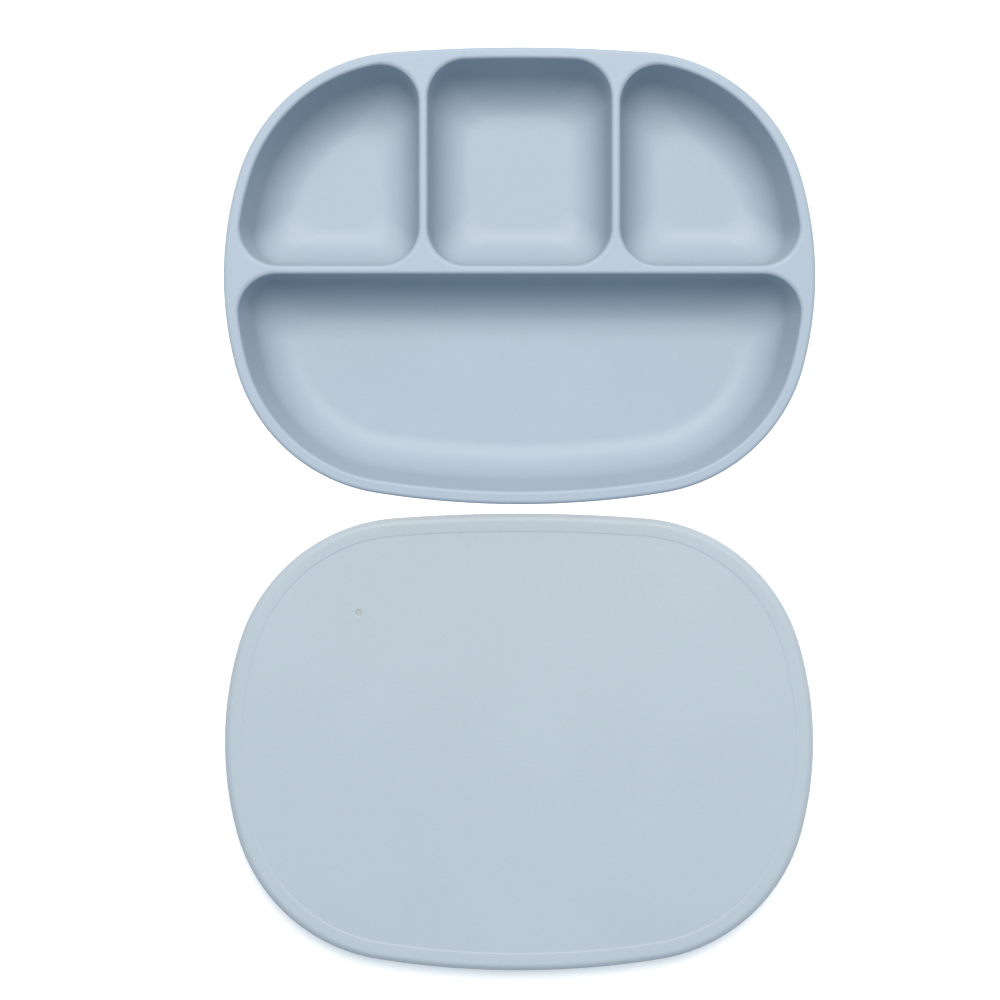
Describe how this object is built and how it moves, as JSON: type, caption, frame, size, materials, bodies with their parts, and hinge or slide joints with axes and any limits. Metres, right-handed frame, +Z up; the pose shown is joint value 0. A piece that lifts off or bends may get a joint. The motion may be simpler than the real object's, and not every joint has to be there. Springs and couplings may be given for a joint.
{
  "type": "divided suction plate",
  "caption": "Divided silicone plate for a baby, with food wells, suction cups underneath and a separate flat lid laid in front of it.",
  "frame": {"origin": "on the table, at the middle of the rectangle that the plate and the lid cover together", "axes": "+Z up; +Y from the lid towards the plate; +X to the right, seen from the lid's side"},
  "size_m": [0.2192, 0.3398, 0.034],
  "materials": {
    "plate_silicone": "matte moulded silicone, light grey-blue, with a faint grain",
    "lid_silicone": "matte moulded silicone, light grey-blue, a little smoother",
    "cup_silicone": "smooth silicone with polished lips"
  },
  "bodies": {
    "plate": {"divided_plate": "plate_silicone"},
    "lid": {"lid": "lid_silicone"},
    "cup_front_left": {"suction_cup_front_left": "cup_silicone"},
    "cup_front_right": {"suction_cup_front_right": "cup_silicone"},
    "cup_back_left": {"suction_cup_back_left": "cup_silicone"},
    "cup_back_right": {"suction_cup_back_right": "cup_silicone"}
  },
  "joints": [
    {"name": "lid_lift", "type": "slide", "parent": "plate", "child": "lid", "axis": [0, 0, 1], "range_m": [0, 0.06]},
    {"name": "cup_press_front_left", "type": "slide", "parent": "plate", "child": "cup_front_left", "axis": [0, 0, 1], "range_m": [0, 0.002], "stiffness_N_per_m": 1500},
    {"name": "cup_press_front_right", "type": "slide", "parent": "plate", "child": "cup_front_right", "axis": [0, 0, 1], "range_m": [0, 0.002], "stiffness_N_per_m": 1500},
    {"name": "cup_press_back_left", "type": "slide", "parent": "plate", "child": "cup_back_left", "axis": [0, 0, 1], "range_m": [0, 0.002], "stiffness_N_per_m": 1500},
    {"name": "cup_press_back_right", "type": "slide", "parent": "plate", "child": "cup_back_right", "axis": [0, 0, 1], "range_m": [0, 0.002], "stiffness_N_per_m": 1500}
  ]
}
